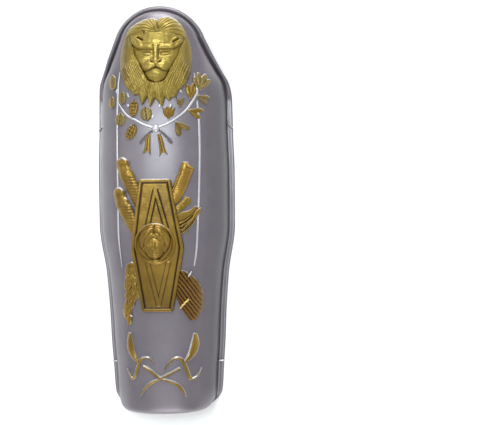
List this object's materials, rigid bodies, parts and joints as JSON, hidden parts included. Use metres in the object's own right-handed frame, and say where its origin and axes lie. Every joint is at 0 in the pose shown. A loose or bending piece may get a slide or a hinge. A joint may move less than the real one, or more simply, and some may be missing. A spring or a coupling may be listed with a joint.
{
  "type": "greave",
  "caption": "Costume greave for shin and knee: a formed silver sheet with gilded lion mask, garland, shield and ribbon relief, open behind.",
  "frame": {"origin": "middle of the footprint, on the table that the open back rests on", "axes": "+X across the shin, +Y from ankle to knee, +Z out of the front of the shin"},
  "size_m": [0.136, 0.384, 0.071],
  "materials": {
    "silver_sheet": "vacuum-formed plastic sheet sprayed with satin silver paint",
    "gold_relief": "the same sheet painted antique gold over the raised relief",
    "elastic_cord": "round braided elastic cord",
    "cord_end": "plain bright metal barb"
  },
  "bodies": {
    "root": {"shell": "silver_sheet", "lion_head": "gold_relief", "leaf_left_1": "gold_relief", "leaf_left_2": "gold_relief", "leaf_left_3": "gold_relief", "leaf_left_4": "gold_relief", "leaf_left_5": "gold_relief", "leaf_left_6": "gold_relief", "leaf_left_7": "gold_relief", "leaf_right_1": "gold_relief", "leaf_right_2": "gold_relief", "leaf_right_3": "gold_relief", "leaf_right_4": "gold_relief", "leaf_right_5": "gold_relief", "leaf_right_6": "gold_relief", "leaf_right_7": "gold_relief", "bow_tail_left": "gold_relief", "bow_tail_right": "gold_relief", "shield": "gold_relief", "shield_face": "gold_relief", "club_upper": "gold_relief", "club_lower": "gold_relief", "quiver": "gold_relief", "log_stub": "gold_relief", "feather_fan": "gold_relief", "arrow_bundle": "gold_relief", "hanging_cloth": "gold_relief", "ankle_ribbon_left": "gold_relief", "ankle_ribbon_right": "gold_relief", "ankle_ribbon_cross": "gold_relief", "strap_lower": "elastic_cord", "strap_upper": "elastic_cord", "strap_lower_end_left": "cord_end", "strap_lower_end_right": "cord_end", "strap_upper_end_left": "cord_end", "strap_upper_end_right": "cord_end"}
  },
  "joints": []
}
